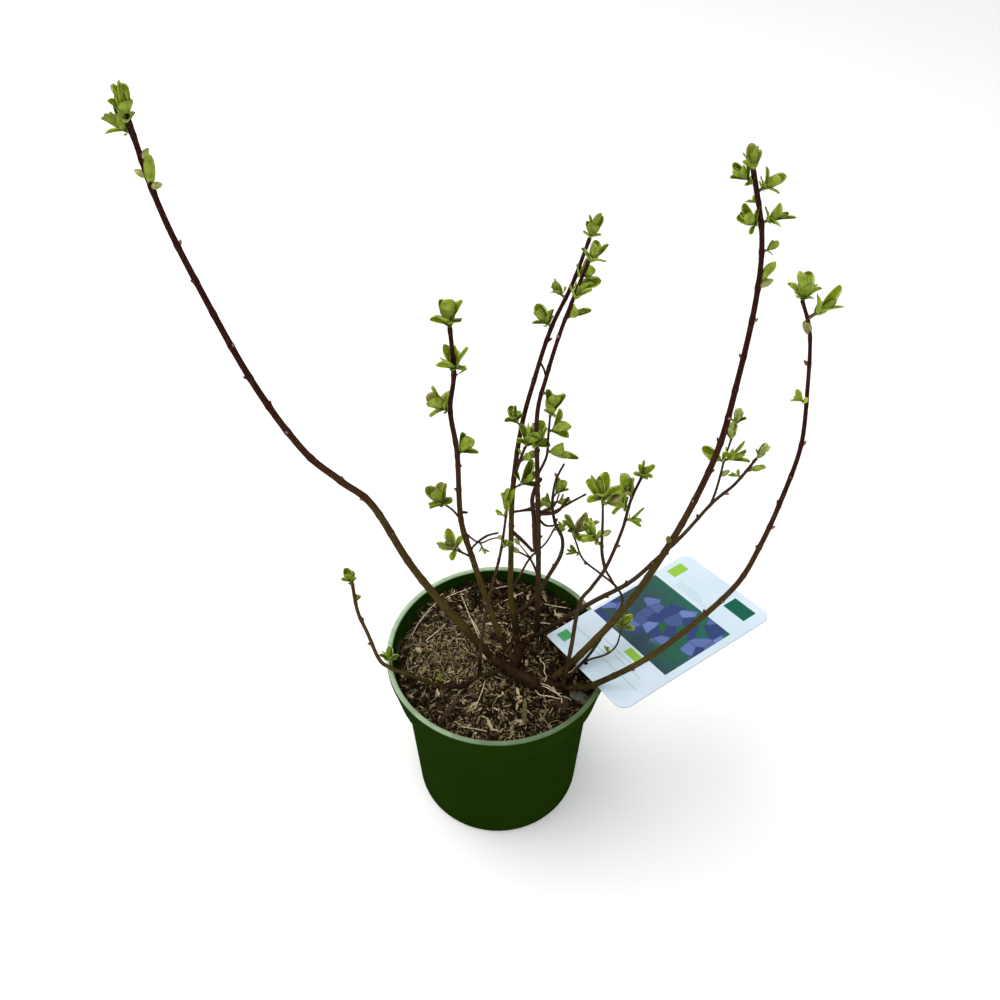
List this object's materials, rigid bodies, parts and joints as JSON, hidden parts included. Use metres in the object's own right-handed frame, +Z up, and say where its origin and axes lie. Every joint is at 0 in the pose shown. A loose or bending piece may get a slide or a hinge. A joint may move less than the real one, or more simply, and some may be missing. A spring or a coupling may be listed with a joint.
{
  "type": "potted blueberry bush",
  "caption": "Young blueberry bush with nearly bare arching canes and small tufts of fresh spring leaves, in a round green nursery pot of bark compost with a plain label.",
  "frame": {"origin": "centre of the pot's flat underside, on the surface the pot stands on", "axes": "+Z up, +X towards the label and the right-hand canes, +Y away from the side that the label's near corner hangs over"},
  "size_m": [0.4307, 0.1809, 0.6115],
  "materials": {
    "pot_plastic": "moulded deep green plastic with a paler worn rim",
    "bark_compost": "damp bark chips and wood fibre, rough",
    "label_print": "printed plastic card, satin gloss, white edge",
    "cane_bark": "smooth young bark, olive brown low down and maroon brown towards the tips",
    "young_leaf": "soft satin young leaves, yellow green with bronze tints"
  },
  "bodies": {
    "root": {"pot": "pot_plastic", "compost": "bark_compost", "label_card": "label_print", "crown": "cane_bark", "cane_far_left": "cane_bark", "cane_left": "cane_bark", "cane_middle_left": "cane_bark", "cane_middle": "cane_bark", "cane_right": "cane_bark", "cane_far_right": "cane_bark", "cane_back_right": "cane_bark", "cane_over_rim": "cane_bark", "cane_fork": "cane_bark", "cane_thin": "cane_bark", "branch_back": "cane_bark", "branch_low_left": "cane_bark", "leaves_far_left_top": "young_leaf", "leaves_left_top": "young_leaf", "leaves_left_middle": "young_leaf", "leaves_left_low": "young_leaf", "leaves_middle_left_top": "young_leaf", "leaves_middle_left_upper": "young_leaf", "leaves_middle_left_fork": "young_leaf", "leaves_middle_left_low": "young_leaf", "leaves_middle_left_side": "young_leaf", "leaves_middle_top": "young_leaf", "leaves_middle_right": "young_leaf", "leaves_right_top": "young_leaf", "leaves_far_right_top": "young_leaf", "leaves_back_right_top": "young_leaf", "leaves_back_right_fork": "young_leaf", "leaves_over_rim_top": "young_leaf", "leaves_over_rim_middle": "young_leaf", "leaves_over_rim_low": "young_leaf", "leaves_low_left_top": "young_leaf", "leaves_fork_top": "young_leaf", "leaves_fork_left": "young_leaf", "leaves_thin_top": "young_leaf", "leaves_thin_side": "young_leaf", "leaves_back_top": "young_leaf", "twig_back": "young_leaf", "twig_middle": "young_leaf", "twig_left": "young_leaf"}
  },
  "joints": []
}
